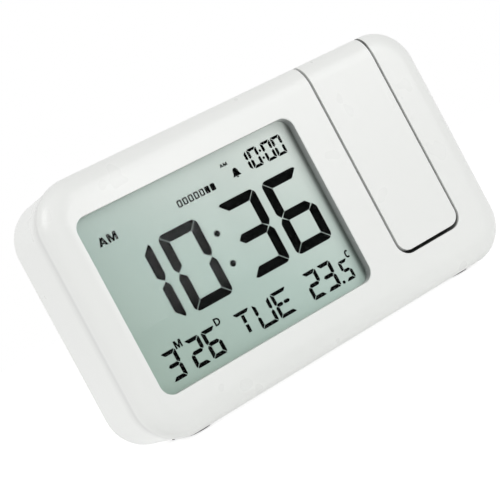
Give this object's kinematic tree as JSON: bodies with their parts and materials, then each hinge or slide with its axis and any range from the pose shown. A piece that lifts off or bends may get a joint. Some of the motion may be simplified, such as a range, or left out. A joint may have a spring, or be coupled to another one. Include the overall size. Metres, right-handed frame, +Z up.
{
  "type": "projection alarm clock",
  "caption": "Desk alarm clock in a rounded white case with a recessed display and a fold-out arm that projects the time on a wall or ceiling.",
  "frame": {"origin": "middle of the footprint, on the surface that the feet stand on", "axes": "+X to the right seen from the front, front looks along -Y, +Z up"},
  "size_m": [0.145, 0.036, 0.0848],
  "materials": {
    "case_white": "satin white",
    "key_white": "satin white",
    "clear_pane": "clear, polished",
    "display": "grey-green reflective display",
    "display_ink": "dark display bars",
    "inner_white": "moulded",
    "board_green": "lacquered circuit board",
    "black_plastic": "moulded black",
    "rubber_black": "matt rubber",
    "steel": "plated steel",
    "brass": "brass disc",
    "can_metal": "rolled can",
    "cell_jacket": "plain jacket",
    "lead_red": "wire insulation",
    "ribbon_grey": "ribbon cable",
    "lens_clear": "polished lens",
    "lamp_clear": "moulded lamp body",
    "lamp_red": "tinted lamp body"
  },
  "bodies": {
    "case": {"front_shell": "case_white", "rear_shell": "case_white", "window_pane": "clear_pane", "display_glass": "display", "display_segments": "display_ink", "display_frame": "inner_white", "light_guide": "inner_white", "backlight_lamps": "lamp_clear", "contact_strip": "rubber_black", "main_board": "board_green", "processor": "black_plastic", "quartz_crystal": "steel", "capacitor": "can_metal", "temperature_sensor": "black_plastic", "snooze_switch": "black_plastic", "key_board": "board_green", "key_switches": "black_plastic", "switch_base": "steel", "key_ribbon": "ribbon_grey", "sounder": "brass", "battery_cells": "cell_jacket", "contact_springs": "steel", "contact_plates": "steel", "battery_leads": "lead_red", "hinge_pins": "steel", "friction_washers": "steel", "case_lead": "lead_red", "case_screws": "steel", "board_screws": "steel", "key_screws": "steel", "feet": "rubber_black"},
    "arm": {"arm_front_cover": "case_white", "arm_back_cover": "case_white", "arm_screws": "steel", "projector_board": "board_green", "projector_lamp": "lamp_red", "optics_holder": "black_plastic", "condenser_lens": "lens_clear", "projection_slide": "display", "arm_lead": "lead_red"},
    "focus": {"focus_wheel": "black_plastic"},
    "lens": {"lens_tube": "black_plastic", "projection_lens": "lens_clear"},
    "snooze": {"snooze_bar": "case_white"},
    "key_mode": {"button_mode": "key_white"},
    "key_alarm": {"button_alarm": "key_white"},
    "key_light": {"button_light": "key_white"},
    "key_up": {"button_up": "key_white"},
    "key_down": {"button_down": "key_white"},
    "switch_knob": {"projector_switch": "black_plastic"},
    "door": {"battery_door": "case_white"}
  },
  "joints": [
    {"name": "arm_hinge", "type": "hinge", "parent": "case", "child": "arm", "pos_m": [0.04285, -0.0115, 0.0778], "axis": [-1, 0, 0], "range_deg": [0, 180]},
    {"name": "focus_turn", "type": "hinge", "parent": "arm", "child": "focus", "pos_m": [0.04285, -0.0103, 0.026], "axis": [0, 0, 1], "range_deg": [0, 90]},
    {"name": "lens_slide", "type": "slide", "parent": "arm", "child": "lens", "axis": [0, 0, 1], "range_m": [0, 0.001]},
    {"name": "snooze_press", "type": "slide", "parent": "case", "child": "snooze", "axis": [0, 0, -1], "range_m": [0, 0.0008], "stiffness_N_per_m": 2000},
    {"name": "key_mode_press", "type": "slide", "parent": "case", "child": "key_mode", "axis": [0, -1, 0], "range_m": [0, 0.0005], "stiffness_N_per_m": 2500},
    {"name": "key_alarm_press", "type": "slide", "parent": "case", "child": "key_alarm", "axis": [0, -1, 0], "range_m": [0, 0.0005], "stiffness_N_per_m": 2500},
    {"name": "key_light_press", "type": "slide", "parent": "case", "child": "key_light", "axis": [0, -1, 0], "range_m": [0, 0.0005], "stiffness_N_per_m": 2500},
    {"name": "key_up_press", "type": "slide", "parent": "case", "child": "key_up", "axis": [0, -1, 0], "range_m": [0, 0.0005], "stiffness_N_per_m": 2500},
    {"name": "key_down_press", "type": "slide", "parent": "case", "child": "key_down", "axis": [0, -1, 0], "range_m": [0, 0.0005], "stiffness_N_per_m": 2500},
    {"name": "switch_slide", "type": "slide", "parent": "case", "child": "switch_knob", "axis": [1, 0, 0], "range_m": [0, 0.004]},
    {"name": "door_lift", "type": "slide", "parent": "case", "child": "door", "axis": [0, 1, 0], "range_m": [0, 0.02]}
  ],
  "couplings": [
    {"joint": "focus_turn", "follows": "lens_slide", "rad_per_m": 1570.8}
  ]
}
